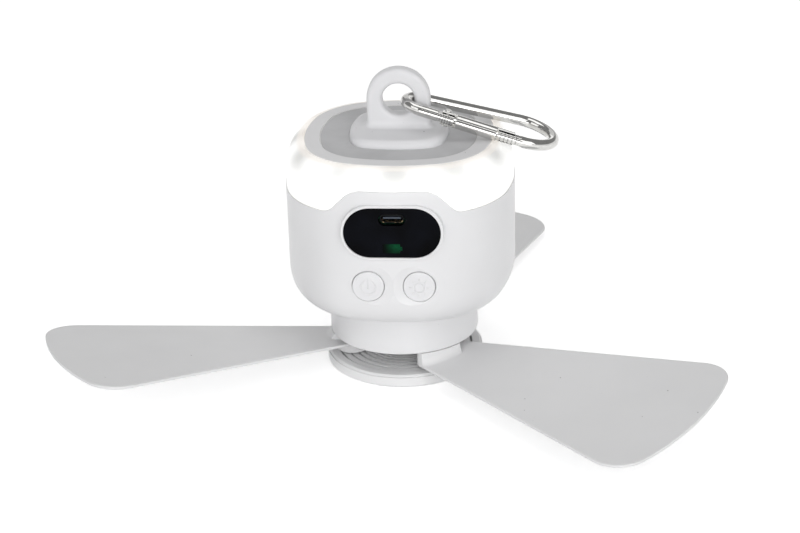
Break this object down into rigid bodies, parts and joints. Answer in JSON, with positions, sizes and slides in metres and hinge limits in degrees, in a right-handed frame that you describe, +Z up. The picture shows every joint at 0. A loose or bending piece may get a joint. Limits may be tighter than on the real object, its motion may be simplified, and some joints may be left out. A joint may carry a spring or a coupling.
{
  "type": "portable camping fan",
  "caption": "Hanging and standing battery fan with folding paddle blades below a rounded body, a ring light, push buttons, a charging window and a snap hook.",
  "frame": {"origin": "centre of the rotor disc's underside, the face that the fan stands on", "axes": "+Z up along the rotor's axis, -Y towards the front with window and buttons, +X to the viewer's right"},
  "size_m": [0.2671, 0.2552, 0.1229],
  "materials": {
    "shell_white": "satin moulded, fine specks",
    "diffuser_milk": "milky, lit from inside",
    "cover_white": "satin",
    "label_grey": "matt",
    "window_black": "glossy",
    "socket_steel": "satin",
    "indicator_green": "translucent",
    "board_green": "solder mask",
    "screw_steel": "satin",
    "switch_black": "matt",
    "button_white": "satin",
    "frame_white": "matt",
    "led_yellow": "phosphor",
    "cell_wrap": "shrink wrap",
    "cradle_grey": "matt",
    "base_metal": "turned",
    "tube_brass": "turned",
    "bearing_steel": "ground",
    "core_steel": "stacked sheets",
    "coil_copper": "enamelled",
    "collar_white": "satin moulded",
    "bell_steel": "plated",
    "magnet_dark": "matt",
    "blade_white": "satin moulded",
    "hook_chrome": "polished",
    "spring_steel": "drawn wire"
  },
  "bodies": {
    "housing": {"lower_shell": "shell_white", "light_diffuser": "diffuser_milk", "top_cover": "cover_white", "label_ring": "label_grey", "window_lens": "window_black", "charge_socket": "socket_steel", "battery_indicator": "indicator_green", "main_board": "board_green", "board_screws": "screw_steel", "button_switches": "switch_black", "mid_frame": "frame_white", "frame_screws": "screw_steel", "led_board": "board_green", "led_chips": "led_yellow", "cover_screws": "screw_steel", "battery_cells": "cell_wrap", "battery_cradle": "cradle_grey", "motor_base": "base_metal", "motor_screws": "screw_steel", "bearing_tube": "tube_brass", "bearings": "bearing_steel", "stator_core": "core_steel", "stator_coils": "coil_copper"},
    "rotor": {"rotor_collar": "collar_white", "rotor_disc": "collar_white", "motor_bell": "bell_steel", "ring_magnet": "magnet_dark", "motor_shaft": "bearing_steel", "hub_screws": "screw_steel", "blade_pins": "screw_steel", "pivot_washers": "bearing_steel", "disc_screw": "screw_steel"},
    "blade_1": {"blade_1": "blade_white"},
    "blade_2": {"blade_2": "blade_white"},
    "blade_3": {"blade_3": "blade_white"},
    "power_button": {"power_button": "button_white"},
    "light_button": {"light_button": "button_white"},
    "hook": {"snap_hook": "hook_chrome", "gate_pin": "hook_chrome"},
    "gate": {"snap_gate": "hook_chrome", "gate_spring": "spring_steel"}
  },
  "joints": [
    {"name": "rotor_spin", "type": "hinge", "parent": "housing", "child": "rotor", "pos_m": [0, 0, 0.02], "axis": [0, 0, 1], "continuous": true},
    {"name": "fold_1", "type": "hinge", "parent": "rotor", "child": "blade_1", "pos_m": [0.0152, -0.0152, 0.0095], "axis": [0, 0, 1], "range_deg": [-90, 3]},
    {"name": "fold_2", "type": "hinge", "parent": "rotor", "child": "blade_2", "pos_m": [0.00556, 0.02077, 0.0095], "axis": [0, 0, 1], "range_deg": [-90, 2.4]},
    {"name": "fold_3", "type": "hinge", "parent": "rotor", "child": "blade_3", "pos_m": [-0.02077, -0.00556, 0.0095], "axis": [0, 0, 1], "range_deg": [-90, 0.5]},
    {"name": "power_press", "type": "slide", "parent": "housing", "child": "power_button", "axis": [0, 1, 0], "range_m": [0, 0.0008], "stiffness_N_per_m": 400},
    {"name": "light_press", "type": "slide", "parent": "housing", "child": "light_button", "axis": [0, 1, 0], "range_m": [0, 0.0008], "stiffness_N_per_m": 400},
    {"name": "hook_swing", "type": "hinge", "parent": "housing", "child": "hook", "pos_m": [0, 0, 0.11051], "axis": [0, -1, 0], "range_deg": [0, 213.2]},
    {"name": "gate_open", "type": "hinge", "parent": "hook", "child": "gate", "pos_m": [0.01896, -0.00739, 0.10486], "axis": [0.2857, 0, 0.9583], "range_deg": [0, 24], "stiffness_Nm_per_rad": 0.01, "springref_deg": -17.19}
  ]
}
